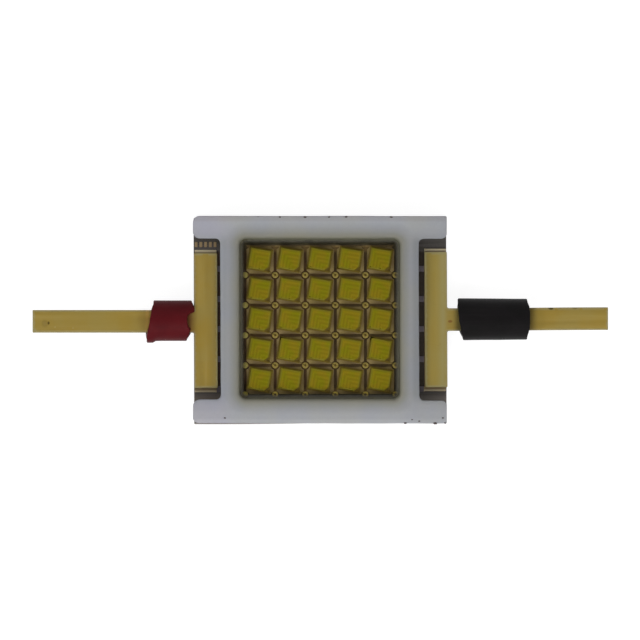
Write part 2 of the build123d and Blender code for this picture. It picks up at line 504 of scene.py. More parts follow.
def moulding_material():
    """White moulding, photographed grey and faintly mottled: painted shade and a painted olive reflection
    darken it towards the gel, and its webs, rails and edges carry painted light and shade.
    """
    g = Graph("moulding")
    distance = g.window_distance()
    reach = 0.9
    # Painted shade and a painted olive reflection: darker and more olive towards the gel
    shaded_near_gel = g.ramp(
        g.over(distance, reach),
        [
            (0.00, srgb(122, 121, 106)),
            (0.14, srgb(133, 132, 121)),
            (0.30, srgb(138, 139, 134)),
            (0.48, srgb(145, 147, 147)),
            (0.78, srgb(155, 157, 160)),
        ],
    )
    clouds = g.noise(0.55, 2.0)
    tint = g.mix(g.span(clouds, 0.35, 0.65), srgb(250, 250, 255), srgb(255, 253, 250))
    grain = g.noise(9.0, 4.0, 0.6)
    shade = g.span(grain, 0.3, 0.7, 0.965, 1.0)
    colour = g.mix(1.0, g.mix(1.0, shaded_near_gel, tint, "MULTIPLY"), shade, "MULTIPLY")
    x, y, _ = g.sides()
    off_centre = g.size(g.less(y, shift_y))
    on_web = g.span(off_centre, notch_half + 0.35, notch_half - 0.25)
    on_rail = g.less(1.0, on_web)
    # Painted light and shade: the webs, web edges, top outer band, low inner slope and right side of the
    # rails are darker; the low outer edge and left side of the rails are lighter
    low_slope_shade = g.times(g.span(y, -3.20, -3.40), g.span(y, -3.95, -3.65))
    colour = g.tints(
        colour,
        (g.times(on_web, g.span(x, -1.0, 1.0)), (0.90, 0.90, 0.91)),
        (g.times(on_web, g.span(x, 1.0, -1.0)), (0.90, 0.90, 0.915)),
        (g.times(on_web, g.span(x, notch_wall - 0.42, notch_wall - 0.14)), (0.74, 0.75, 0.74)),
        (g.times(on_web, g.span(x, -notch_wall + 0.30, -notch_wall + 0.12)), (0.90, 0.91, 0.90)),
        (g.times(g.span(y, 3.25, 3.40), g.span(distance, 0.30, 0.16)), (0.92, 0.92, 0.91)),
        (g.span(y, 3.82, 3.96), (1.03, 1.035, 1.035)),
        (g.span(y, 4.12, 4.22), (0.97, 0.945, 0.92)),
        (g.span(y, -4.10, -4.24), (1.07, 1.07, 1.06)),
        (g.times(low_slope_shade, on_rail), (0.93, 0.93, 0.93)),
        (g.times(on_rail, g.span(x, -3.4, -4.4)), (1.04, 1.01, 1.06)),
        (g.times(on_rail, g.span(x, 3.0, 4.2)), (0.95, 0.95, 0.94)),
    )
    return g.grainy_surface(colour, grain, (0.50, 0.62), 0.006)


def ceramic_material():
    """Dark fired ceramic with faint lines along X, browner under the gel, with painted light in the row
    gaps, along the low wall, on the notch floor and on the low edge, and painted shade at the wall's foot
    and beside the bars.
    """
    g = Graph("base_ceramic")
    lines = g.noise(1.0, 3.0, 0.6, (0.25, 9.0, 1.5))
    grain = g.noise(22.0, 3.0, 0.6)
    across, along, height = g.sides()
    from_middle = g.size(g.in_cell(along))
    # Painted light: the gaps between rows are lightened, more towards each cell's left
    lit_row_gap = g.mix(g.span(g.in_cell(across), 0.10, -0.20), srgb(130, 110, 80), srgb(162, 138, 98))
    # Painted shade at the foot of the window wall
    off_wall = g.plus(g.window_distance(), g.span(along, -2.9, -3.0, 0.0, -0.05))
    wall_foot_shade = g.mix(g.span(along, 2.9, 3.1), srgb(50, 43, 31), srgb(66, 61, 50))
    gel_floor = g.layers(
        g.mix(grain, srgb(104, 87, 58), srgb(94, 78, 54)),
        (g.span(from_middle, 0.55, 0.60), lit_row_gap),
        # Painted light along the low wall under the gel
        (g.span(along, -3.00, -3.10), srgb(128, 112, 84)),
        (g.span(off_wall, -0.34, -0.25), wall_foot_shade),
    )
    # Painted light on the notch floor below the bars, where the rail shades it
    lit_notch_foot = g.times(
        g.span(along, -2.95, -3.00),
        g.span(along, -3.05, -3.36, 0.16, 1.0),
        g.span(g.size(across), notch_wall - 0.1, notch_wall),
        g.span(along, -3.70, -3.50),
    )
    # A painted highlight on the base's low edge
    low_edge_highlight = g.times(g.span(along, -4.30, -4.34), g.span(height, base_top - 0.04, base_top - 0.02))
    # Painted shadow in the slits beside the bars
    bar_shadow = g.times(
        g.span(g.size(across), bar_inner + 0.25, bar_inner),
        g.span(g.size(along), bar_half + 0.15, bar_half - 0.05),
        0.8,
    )
    colour = g.layers(
        g.mix(g.span(lines, 0.35, 0.65), srgb(64, 61, 56), srgb(78, 74, 72)),
        (g.span(grain, 0.45, 0.75, 0.0, 0.35), srgb(44, 40, 36)),
        (g.span(g.window_distance(), 0.02, 0.0), gel_floor),
        (lit_notch_foot, g.mix(g.span(across, -1.0, 1.0), srgb(107, 98, 90), srgb(116, 110, 104))),
        (low_edge_highlight, srgb(132, 127, 122)),
        (bar_shadow, g.mix(g.span(across, 1.0, -1.0), srgb(42, 34, 25), srgb(51, 34, 24))),
    )
    return g.grainy_surface(colour, grain, (0.55, 0.75), 0.004, specular=0.15)


def plating_material():
    """Gold plating of pads, buses and marks: grainy, dull, and greyer on the feeds beside the moulding, with
    painted light and shade on the pads and painted highlights at the buses' ends.
    """
    g = Graph("plating")
    grain = g.noise(16.0, 4.0, 0.6)
    clouds = g.noise(1.1, 2.0)
    x, y, _ = g.sides()
    from_middle_x = g.size(g.in_cell(x))
    from_middle_y = g.size(g.in_cell(y))
    # Pads lighter towards their corners and darker at mid-sides: painted light and shade
    lit_corner_share = g.span(g.least(from_middle_x, from_middle_y), 0.05, 0.50)
    middle = g.mix(g.span(clouds, 0.35, 0.65), srgb(112, 97, 62), srgb(110, 94, 70))
    corner = g.mix(g.span(clouds, 0.35, 0.65), srgb(144, 127, 81), srgb(142, 124, 88))
    across = g.size(x)
    on_bus = g.span(across, notch_wall, bar_inner + 0.05)
    bus_colour = g.mix(g.span(y, -1.0, 1.0), srgb(120, 104, 76), srgb(146, 132, 104))
    right = g.span(x, -1.0, 1.0)
    from_top = g.less(g.blend(right, left_bus[1], right_bus[1]), y)
    from_foot = g.less(y, g.blend(right, left_bus[0], right_bus[0]))
    above_bar = g.span(y, bar_half + 0.14, bar_half + 0.2)
    past_wall = g.span(across, notch_wall - 0.2, notch_wall - 0.1)
    before_bar = g.span(across, bar_inner, bar_inner - 0.02)
    colour = g.layers(
        g.mix(lit_corner_share, middle, corner),
        (g.span(grain, 0.4, 0.75, 0.0, 0.5), srgb(118, 100, 60)),
        (on_bus, bus_colour),
        # Painted highlights at the buses' exposed ends, which also offset the bars' shadow there
        (g.times(on_bus, g.span(from_top, 0.13, 0.05)), srgb(204, 190, 158)),
        (g.times(on_bus, g.span(from_foot, 0.10, 0.05)), srgb(166, 152, 124)),
        (g.times(g.span(across, notch_wall, bar_inner), above_bar), srgb(138, 118, 88)),
        (g.times(past_wall, before_bar), srgb(92, 86, 90)),
    )
    return g.grainy_surface(colour, grain, (0.45, 0.6), 0.004, 0.3, 0.6)


def solder_pad_material():
    """Dull gold plating of the solder pad under the base, with faint rubbing marks."""
    g = Graph("solder_pad")
    grain = g.noise(14.0, 4.0, 0.6)
    rubbed = g.noise(1.0, 3.0, 0.6, (0.3, 4.0, 4.0))
    colour = g.mix(g.span(grain, 0.3, 0.7), srgb(126, 110, 68), srgb(136, 119, 76))
    colour = g.mix(g.span(rubbed, 0.5, 0.8, 0.0, 0.4), colour, srgb(154, 137, 92))
    return g.grainy_surface(colour, grain, (0.45, 0.6), 0.004, 0.3, 0.6)


def lead_material():
    """Satin gold on rolled ribbon: fine lines along the roll, stains and marks of handling, painted shade on
    the rounded edges and the bars' inner sides, and painted highlights on the rim and the outer sides.
    """
    g = Graph("lead_gold")
    across, along, _ = g.sides()
    reach = g.size(across)
    on_stem = g.span(reach, body_end - 0.2, body_end + 0.1)
    stem_lines = g.noise(1.0, 3.0, 0.55, (0.18, 7.0, 7.0))
    bar_lines = g.noise(1.0, 3.0, 0.55, (5.0, 0.15, 5.0))
    lines = g.blend(on_stem, bar_lines, stem_lines)
    clouds = g.noise(0.8, 3.0)
    fine = g.noise(26.0, 3.0, 0.6)
    on_bar = g.less(1.0, on_stem)
    black_side = g.times(g.span(across, 0.0, 1.0), on_bar)
    rim = g.node("Attribute", attribute_name="rim")["Fac"]
    # Painted shade on the bars' inner sides and a painted highlight along their outer sides
    shaded_inner_side = g.span(reach, bar_inner + 0.35, bar_inner, 0.0, 0.60)
    shaded_side = g.span(across, bar_inner + 0.32, bar_inner + 0.02, 0.0, 0.4)
    lit_outer_side = g.span(across, body_end - 0.5, body_end - 0.05, 0.0, 0.6)
    stain = g.span(g.noise(2.3, 4.0, 0.7), 0.60, 0.80, 0.0, 0.35)
    colour = g.layers(
        g.mix(g.span(clouds, 0.3, 0.7), srgb(163, 137, 61), srgb(161, 140, 72)),
        (g.span(lines, 0.45, 0.75, 0.0, 0.35), srgb(176, 154, 88)),
        (g.span(lines, 0.50, 0.25, 0.0, 0.35), srgb(152, 129, 64)),
        (g.times(shaded_inner_side, on_bar), srgb(144, 128, 76)),
        (g.times(black_side, 0.45), srgb(162, 146, 78)),
        (g.times(black_side, shaded_side), srgb(118, 108, 66)),
        (g.times(black_side, lit_outer_side), srgb(162, 156, 112)),
        # A painted highlight on the rim
        (g.times(g.span(rim, 0.25, 1.0), 0.75), srgb(160, 151, 108)),
        (stain, srgb(143, 115, 62)),
    )
    for x, y, long, wide, strength, mark in lead_marks:
        gap = g.length(g.over(g.less(across, x), long), g.over(g.less(along, y), wide))
        colour = g.mix(g.span(gap, 1.25, 0.6, 0.0, strength), colour, mark)
    # Painted shadow beside the sleeves' ends, and painted light left of the red sleeve
    for x, reach_x, factor in sleeve_end_light_and_shade:
        colour = g.tints(colour, (g.span(g.size(g.less(across, x)), reach_x, 0.0), factor))
    # Painted shade on faces that slope away from straight up: the rounded edges
    upward = g.sides(g.node("NewGeometry")["Normal"])[2]
    colour = g.mix(g.span(upward, 0.93, 0.5, 0.0, 0.8), colour, srgb(112, 100, 66))
    height = g.plus(g.times(lines, 0.7), g.times(fine, 0.3))
    roughness = g.span(lines, 0.3, 0.7, 0.40, 0.52)
    return g.surface(colour, roughness, g.bump(height, 0.003, 0.5), 0.45, 0.3)


def land_material():
    """Bright gold plating of the round lands, which differs in the lowest row and the left column."""
    g = Graph("land_gold")
    grain = g.noise(18.0, 3.0, 0.6)
    x, y, _ = g.sides()
    colour = g.tints(
        g.mix(g.span(grain, 0.35, 0.7), srgb(158, 142, 80), srgb(140, 122, 64)),
        (g.span(y, -3.00, -3.05), (1.55, 1.55, 1.25)),
        (g.span(x, -3.00, -3.05), (0.86, 0.95, 0.97)),
    )
    return g.grainy_surface(colour, grain, (0.45, 0.6), 0.003, 0.3)


def wire_material():
    """Drawn gold."""
    g = Graph("bond_gold")
    grain = g.noise(30.0, 2.0)
    colour = g.mix(grain, srgb(98, 82, 28), srgb(86, 70, 20))
    return g.surface(colour, 0.4, g.bump(grain, 0.001, 0.4), 0.5, 0.3)


def die_material():
    """The die's own surface: dull olive, faintly grainy."""
    g = Graph("die_top")
    grain = g.noise(18.0, 3.0, 0.6)
    colour = g.mix(g.span(grain, 0.35, 0.65), srgb(108, 93, 36), srgb(96, 81, 33))
    return g.grainy_surface(colour, grain, (0.45, 0.6), 0.002, 0.2, 0.4, 0.15)


def contact_material():
    """Bared bond pad on a die's corner."""
    g = Graph("die_contact")
    grain = g.noise(24.0, 3.0, 0.6)
    colour = g.mix(grain, srgb(112, 95, 42), srgb(98, 80, 34))
    return g.surface(colour, 0.5, g.bump(grain, 0.002, 0.5), 0.4, 0.2)


def phosphor_material():
    """Yellow phosphor: a paler rim, and the die's current lines showing faintly as nested corners."""
    g = Graph("phosphor")
    u, v, _ = g.sides(g.node("UVMap", uv_map="plate")[0])
    left = g.less(u, 0.5 - plate_size / 2)
    top = g.less(0.5 + plate_size / 2, v)
    nested = g.least(g.over(left, 0.137), g.over(top, 0.165))
    wave = g.math("SINE", g.times(g.plus(nested, 0.30), 2 * pi))
    rim_x, rim_y = (g.less(plate_size / 2, g.size(g.less(place, 0.5))) for place in (u, v))
    rim = g.span(g.least(rim_x, rim_y), 0.105, 0.03)
    tone = g.noise(2.4, 2.0)
    grain = g.noise(20.0, 4.0, 0.65)
    body = g.mix(g.span(tone, 0.35, 0.65), srgb(118, 113, 12), srgb(127, 111, 20))
    lines = g.span(wave, -1.0, 1.0, 0.87, 1.08, "LINEAR")
    body = g.mix(1.0, body, lines, "MULTIPLY")
    colour = g.mix(g.times(rim, 0.75), body, srgb(118, 112, 38))
    colour = g.mix(1.0, colour, g.span(grain, 0.3, 0.7, 0.93, 1.0), "MULTIPLY")
    return g.grainy_surface(colour, grain, (0.6, 0.75), 0.004, specular=0.08)


def gel_material():
    """Clear gel: see-through and glossy; where it is drawn up the wall, a diffuse olive-grey haze is painted
    shade.
    """
    g = Graph("gel")
    depth = g.times(g.window_distance(), -1.0)
    clear = g.node("BsdfTransparent", {0: srgb(253, 252, 246)})[0]
    # Painted shade: a diffuse olive-grey haze near the wall stands in for the wall's shade and the dimming
    # there
    shade_haze_colour = g.ramp(
        g.over(depth, 0.40),
        [
            (0.00, srgb(86, 85, 70)),
            (0.22, srgb(69, 66, 53)),
            (0.45, srgb(58, 54, 42)),
            (1.00, srgb(50, 45, 34)),
        ],
    )
    across, along, _ = g.sides()
    shade_haze_colour = g.tints(
        shade_haze_colour,
        (g.span(across, -3.20, -3.26), (0.96, 0.92, 0.84)),
        (g.times(g.span(across, -3.00, -3.10), g.span(across, -3.30, -3.24)), (0.78, 0.74, 0.62)),
        (g.span(along, 3.22, 3.30), (1.14, 1.18, 1.22)),
    )
    shade_haze = g.node("BsdfDiffuse", {0: shade_haze_colour})[0]
    streaks = g.noise(1.8, 3.0)
    haze_levels = ((0.0, 0.93), (0.20, 0.86), (0.40, 0.35), (0.55, 0.0))
    cover = g.ramp(
        g.over(g.plus(depth, g.span(streaks, 0.3, 0.7, -0.03, 0.03)), 0.45),
        [(stop, (level, level, level, 1)) for stop, level in haze_levels],
    )
    gloss = g.node("BsdfGlossy", {"Roughness": 0.06})[0]
    fresnel = g.node("Fresnel", {0: 1.41})[0]
    front = g.less(1.0, g.node("NewGeometry")["Backfacing"])
    seen = g.mix_shader(cover, clear, shade_haze)
    face = g.mix_shader(g.times(fresnel, front), seen, gloss)
    return g.end(g.mix_shader(front, clear, face))


def sleeve_material(name, colour, pale, dark):
    """Shrink tube: satin, a little cloudy, with faint lengthwise drawing lines."""
    g = Graph(name)
    lines = g.noise(1.0, 3.0, 0.6, (0.5, 12.0, 12.0))
    clouds = g.noise(1.3, 3.0)
    grain = g.noise(24.0, 3.0, 0.6)
    base = g.mix(g.span(clouds, 0.35, 0.65), colour, dark)
    base = g.mix(g.span(lines, 0.5, 0.8, 0.0, 0.25), base, pale)
    height = g.plus(g.times(lines, 0.6), g.times(grain, 0.4))
    roughness = g.span(grain, 0.3, 0.7, 0.45, 0.6)
    return g.surface(base, roughness, g.bump(height, 0.006, 0.5), specular=0.08)


def speck_material():
    """Dark grit."""
    g = Graph("grit")
    grain = g.noise(12.0, 2.0)
    colour = g.mix(grain, srgb(52, 44, 44), srgb(84, 74, 72))
    return g.surface(colour, 0.8, g.bump(grain, 0.01, 0.6))


moulding = moulding_material()
ceramic = ceramic_material()
plating = plating_material()
solder_pad = solder_pad_material()
land_gold = land_material()
lead_gold = lead_material()
bond_gold = wire_material()
die_top_finish = die_material()
contact_metal = contact_material()
phosphor = phosphor_material()
gel = gel_material()
red_tube = sleeve_material("red_tube", srgb(82, 18, 23), srgb(94, 34, 38), srgb(77, 16, 21))
black_tube = sleeve_material("black_tube", srgb(21, 19, 20), srgb(33, 32, 32), srgb(18, 17, 17))
grit = speck_material()


def finished(piece, slot, *nodes):
    """Seats a piece: it rides with the part and stands for CAD nodes, which it hides; its slot is not used.
    """
    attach(piece, "root")
    if nodes:
        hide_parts(*nodes)
    return piece


# Pieces

def dress(node, material):
    """Gives a CAD node that stays its finish."""
    node_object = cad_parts[node]
    node_object.data.materials.clear()
    node_object.data.materials.append(material)


def make_base():
    """The fired ceramic, which sits a little low under the moulding, so that its lower left edge shows."""
    low, high = node_box("substrate")
    lowered = 0.08
    offset = 0.02
    corner_round = 0.06
    corners = [
        (low.x + offset / 2, low.y, corner_round / 2),
        (high.x, low.y, corner_round),
        (high.x - offset, high.y - lowered, corner_round),
        (low.x - offset, high.y - lowered, corner_round),
    ]
    shell = Shell()
    profile = rounded_profile(low.z, high.z, 0.015, 2, foot=0.02)
    stack(shell, lambda inset: outline(corners, inset, 0.2, 8), profile)
    # Its low side recedes to the right, so that the moulding covers it there
    for point in shell.points:
        if point.y < -long_side:
            point.y += 0.010 + 0.055 * smooth(point.x, -4.4, 2.0)
    return finished(shell.build("ceramic_plate", ceramic), "base_ceramic", "substrate")


def make_moulding():
    """The window frame: rounded inner lip, rounded outer edge, slightly uneven faces."""
    wall_left, wall_right = notch_shift_x - notch_wall, notch_shift_x + notch_wall
    corners = [
        (arm_end, -body_half, arm_foot_corner),
        (body_end, -body_half, sharp_corner),
        (body_end, right_notch[0], arm_tip_corner),
        (wall_right, right_notch[0], notch_corner),
        (wall_right, right_notch[1], notch_corner),
        (body_end, right_notch[1], arm_tip_corner),
        (body_end, body_half, sharp_corner),
        (arm_end, body_half, arm_corner),
        (arm_end, left_notch[1], arm_corner),
        (wall_left, left_notch[1], notch_corner),
        (wall_left, left_notch[0], notch_corner),
        (arm_end, left_notch[0], arm_corner),
    ]
    shell = Shell()
    outer = [
        shell.ring(outline(corners, inset, pieces=6), height)
        for inset, height in rounded_profile(base_top, moulding_top, edge_width, 6, drop=edge_drop)
    ]
    shell.skin(outer)
    lip_height = moulding_top - fill_rim
    lip = [(0.0, base_top)]
    for k in range(13):
        share = k / 12
        lip.append((-lip_width * share**1.6, fill_rim + lip_height * (1 - (1 - share**1.6) ** 3) ** (1 / 3)))
    inner = [shell.ring(outline(window_plan, inset, pieces=10), height) for inset, height in lip]
    shell.skin(inner, outward=False)
    shell.cap(outer[-1], [inner[-1]], spacing=0.16)
    shell.cap(outer[0], [inner[0]], upward=False)
    for point in shell.points:
        away = smooth(window_distance(point.x, point.y), 0.30, 0.55)
        high = smooth(point.z, fill_rim, moulding_top)
        still = Vector(point)
        point.z -= away * high * (0.008 + 0.008 * swell(still, 1.1, 3.1))
        point.x += away * 0.010 * swell(still, 0.9, 7.7)
        point.y += away * 0.010 * swell(still, 0.9, 5.3)
        if abs(still.y) < notch_half:
            point.x -= lean * still.y * smooth(abs(still.x), 3.5, 4.1)
        # The long sides aren't quite straight
        if still.y > long_side:
            point.y -= 0.012 * smooth(still.x, 0.0, 5.0)
        if still.y < -long_side:
            point.y += 0.060 - 0.012 * smooth(still.x, -4.6, 1.0)
        point.x = min(max(point.x, arm_end), body_end)
        point.y = min(max(point.y, -body_half), body_half)
    return finished(shell.build("moulded_frame", moulding), "white_moulding", "window_frame")


def pad_outline(cell_x, cell_y, inset):
    """A die pad with a scallop round the land at each corner, anticlockwise."""
    half = pad_size / 2 - inset
    radius = scallop_radius + inset
    start = atan2(-sqrt(radius**2 - (pitch / 2 - half) ** 2), half - pitch / 2)
    end = -pi / 2 - (start + pi)
    points = []
    for quarter in range(4):
        turn = Matrix.Rotation(quarter * pi / 2, 2)
        points.append(turn @ Vector((half, 0)))
        for k in range(9):
            angle = start + (end - start) * k / 8
            points.append(turn @ Vector((pitch / 2 + radius * cos(angle), pitch / 2 + radius * sin(angle))))
    return [Vector((cell_x, cell_y)) + p for p in points]


def land_row(cell_y):
    """The y of the round lands under a row of cells. The lowest row sits a little high."""
    return cell_y - pitch / 2 + (last_land_rise if cell_y == cell_offsets[0] else 0)


def make_pattern():
    """Plated pattern on the base: die pads, lands, both buses with their feeds, and index marks."""
    shell = Shell()
    metal_round = 0.014
    bus_round = 0.03
    feed_round = 0.02
    profile = rounded_profile(base_top, pattern_top, metal_round, 3)
    for x, y in cell_centres:
        stack(shell, lambda inset: pad_outline(x, y, inset), profile)
    first_land_face = len(shell.faces)
    land_columns = [cell_offsets[0] - pitch / 2] + [x + pitch / 2 for x in cell_offsets]
    for x in land_columns:
        for y in cell_offsets:
            stack(shell, lambda inset: circle((x, land_row(y)), land_radius - inset), profile)
    first_bus_face = len(shell.faces)
    bus_outer = body_end - bus_edge_margin
    for side, (bus_low, bus_high) in ((-1, left_bus), (1, right_bus)):
        ends = ((bus_outer, bus_low), (bus_outer, bus_high), (bar_inner, bus_high))
        corners = [(x, y, bus_round) for x, y in ends]
        wall = notch_wall + side * notch_shift_x
        for y in reversed(cell_offsets):
            feed = y - feed_drop
            corners += [
                (bar_inner, feed + feed_width / 2, feed_round),
                (wall, feed + feed_width / 2, feed_round),
                (wall, feed - feed_width / 2, feed_round),
                (bar_inner, feed - feed_width / 2, feed_round),
            ]
        corners.append((bar_inner, bus_low, bus_round))
        if side < 0:
            corners = [(-x, y, radius) for x, y, radius in reversed(corners)]
        stack(shell, lambda inset: outline(corners, inset, pieces=4), profile)
    first_mark = -body_end + bus_edge_margin
    for index in range(mark_count):
        low_x = first_mark + index * mark_pitch
        low_y = left_bus[1] + mark_gap
        corners = box_corners(low_x, low_y, low_x + mark_width, low_y + mark_height, feed_round)
        stack(shell, lambda inset: outline(corners, inset, pieces=4), profile)
    piece = shell.build("plated_pattern", plating, land_gold)
    for number in range(first_land_face, first_bus_face):
        piece.data.polygons[number].material_index = 1
    return finished(piece, "plated_metal", "gold_pattern")


def turned(x, y, cell_x, cell_y):
    """A point of a die's own plan, turned and moved to its cell."""
    centre = Vector((cell_x + die_centre.x, cell_y + die_centre.y))
    return centre + Matrix.Rotation(die_turn, 2) @ Vector((x, y))


first_x = cell_offsets[0]
first_y = cell_offsets[-1]
die_centre = ((die_low + die_high) / 2).xy - Vector((first_x, first_y))


def make_die(name, cell_x, cell_y):
    """One die, with the bared bond pad on its lower right corner."""
    half = die_size / 2
    shell = Shell()
    corners = box_corners(-half, -half, half, half, 0.03)

    def plan(inset):
        return [turned(p.x, p.y, cell_x, cell_y) for p in outline(corners, inset, 0.3, 4)]

    stack(shell, plan, rounded_profile(pattern_top, die_top, 0.012, 2))
    die_faces = len(shell.faces)
    gap = 0.03
    reach = plate_cut - 0.055 + (die_size - plate_size) / 2
    contact = [
        (half - gap - reach, -half + gap, 0.02),
        (half - gap, -half + gap, 0.02),
        (half - gap, -half + gap + reach, 0.02),
    ]

    def contact_plan(inset):
        return [turned(p.x, p.y, cell_x, cell_y) for p in outline(contact, inset, 0.3, 3)]

    contact_profile = rounded_profile(die_top - 0.001, die_top + contact_height, 0.003, 2)
    stack(shell, contact_plan, contact_profile, closed_bottom=False)
    piece = shell.build(name.replace("die", "chip"), die_top_finish, contact_metal)
    for number, polygon in enumerate(piece.data.polygons):
        polygon.material_index = int(number >= die_faces)
    return finished(piece, "die", name)


def make_plate(name, cell_x, cell_y, seed):
    """One phosphor plate, with its corner cut, a rounded edge and a faint relief."""
    half = plate_size / 2
    corners = [
        (-half, -half, 0.035),
        (half - plate_cut, -half, 0.05),
        (half, -half + plate_cut, 0.05),
        (half, half, 0.035),
        (-half, half, 0.035),
    ]
    shell = Shell()
    stack(
        shell,
        lambda inset: outline(corners, inset, 0.05, 5),
        rounded_profile(die_top, plate_top, plate_round, 4),
        spacing=0.045,
    )
    plan = [(p.x + 0.5, p.y + 0.5) for p in shell.points]
    for point in shell.points:
        if point.z > plate_top - 0.5 * plate_round:
            point.z -= 0.002 + 0.002 * swell(point, 0.11, seed)
        place = turned(point.x, point.y, cell_x, cell_y)
        point.x = place.x
        point.y = place.y
    piece = shell.build(name.replace("phosphor", "yellow"), phosphor)
    layer = piece.data.uv_layers.new(name="plate")
    for loop in piece.data.loops:
        layer.data[loop.index].uv = plan[loop.vertex_index]
    return finished(piece, "phosphor", name)


def tube(shell, path, radius, sides=10):
    """A round wire along a path, with closed ends."""
    rings = []
    side = Vector((0, 0, 1)).cross(path[-1] - path[0]).normalized()
    for k, point in enumerate(path):
        ahead = (path[min(k + 1, len(path) - 1)] - path[max(k - 1, 0)]).normalized()
        up = ahead.cross(side).normalized()
        turns = [2 * pi * n / sides for n in range(sides)]
        rings.append(shell.row([point + radius * (side * cos(turn) + up * sin(turn)) for turn in turns]))
    shell.skin(rings, outward=False)
    shell.faces.append(tuple(rings[0]))
    shell.faces.append(tuple(reversed(rings[-1])))


def make_wires():
    """One bond wire for each die: a ball on the land, a rise, a low loop and a stitch on the die."""
    shell = Shell()
    ball_radius = 0.05
    ball_height = 0.03
    wire_rise = 0.27
    inset = 0.10
    for x, y in cell_centres:
        ball = Vector((x + pitch / 2, land_row(y), pattern_top))
        foot_plan = turned(die_size / 2 - inset, -die_size / 2 + inset, x, y)
        foot = Vector((foot_plan.x, foot_plan.y, die_top + contact_height + 0.6 * wire_radius))
        stray = 0.012 * swell((x, y, 0), 0.7, 2.3)
        rise = Vector((stray, -stray, wire_rise))
        knee = ball + rise
        over = knee.lerp(foot, 0.45) + Vector((0, 0, 0.05))
        controls = [ball + Vector((0, 0, 0.5 * ball_height)), knee, over, foot]
        path = []
        for k in range(15):
            t = k / 14
            a, b, c, d = (1 - t) ** 3, 3 * t * (1 - t) ** 2, 3 * t * t * (1 - t), t**3
            path.append(controls[0] * a + controls[1] * b + controls[2] * c + controls[3] * d)
        tube(shell, path, wire_radius)
        rings = []
        for angle in (pi / 2 * k / 5 for k in range(5)):
            ring_radius = ball_radius * cos(angle) ** 0.6
            rings.append(shell.ring(circle(ball, ring_radius, 16), ball.z + ball_height * sin(angle)))
        shell.skin(rings)
        shell.faces.append(tuple(rings[-1]))
    return finished(shell.build("bond_wire_loops", bond_gold), "gold_wire", "bond_wires")


def make_gel():
    """The clear gel: flat in the middle, and drawn up along the wall in a curve."""
    clearance = 0.002
    fill_level = plate_top + 0.11
    rise = fill_rim - fill_level
    width = 0.36
    shell = Shell()
    profile = [(clearance, base_top + clearance), (clearance, fill_rim - clearance)]
    for k in range(1, 11):
        share = k / 10
        profile.append((clearance + width * share**1.5, fill_level + rise * (1 - share**0.75) ** 2))
    rings = stack(shell, lambda inset: outline(window_plan, inset, 0.12, 10), profile, spacing=0.3)
    flat_from = rings[-1][-1]
    for number, point in enumerate(shell.points):
        if number > flat_from and abs(point.z - fill_level) < 1e-6:
            point.z += 0.004 * swell(point, 1.4, 9.1)
    return finished(shell.build("gel_fill", gel), "clear_fill", "encapsulant")


def make_lead(name, node, side, bar_x, bar_y, stem_centre, bend):
    """A ribbon lead: a bar between two x and two y, and a stem that bends aside. Its edges are rounded."""
    low, high = node_box(node)
    reach = max(-low.x, high.x)
    half = stem_width / 2
    inner, outer = bar_x
    bar_low, bar_high = bar_y
    corners = [
        (inner, bar_low, 0.05),
        (outer, bar_low, 0.05),
        (outer, stem_centre - half, stem_fillet),
        (reach, stem_centre - half, 0.03),
        (reach, stem_centre + half, 0.03),
        (outer, stem_centre + half, stem_fillet),
        (outer, bar_high, 0.05),
        (inner, bar_high, 0.05),
    ]
    if side < 0:
        corners = [(-x, y, radius) for x, y, radius in reversed(corners)]
    shell = Shell()
    rings = stack(
        shell,
        lambda inset: outline(corners, inset, 0.15, 6),
        rounded_profile(low.z, high.z, lead_round, 4, foot=0.02),
        spacing=0.13,
    )
    last_ring_point = rings[-1][-1]
    for point in shell.points:
        out = smooth(abs(point.x), body_end, reach)
        point.x -= lean * point.y * (1 - out)
        point.y += bend * out
        if point.z > (low.z + lead_top) / 2:
            point.z -= 0.003 + 0.003 * swell(point, 0.8, 4.4 + side)
    piece = shell.build(name, lead_gold)
    # The rim attribute marks the points of the edge rings, where the material paints a highlight
    rim = piece.data.attributes.new("rim", "FLOAT", "POINT")
    for number, value in enumerate(rim.data):
        value.value = float(number <= last_ring_point)
    return finished(piece, "lead_metal", node)


def broken_line(points, value):
    """Reads a line through (place, amount) points at one place, smoothly."""
    for (a, low), (b, high) in zip(points, points[1:]):
        if value <= b:
            return low + (high - low) * smooth(value, a, b)
    return points[-1][1]


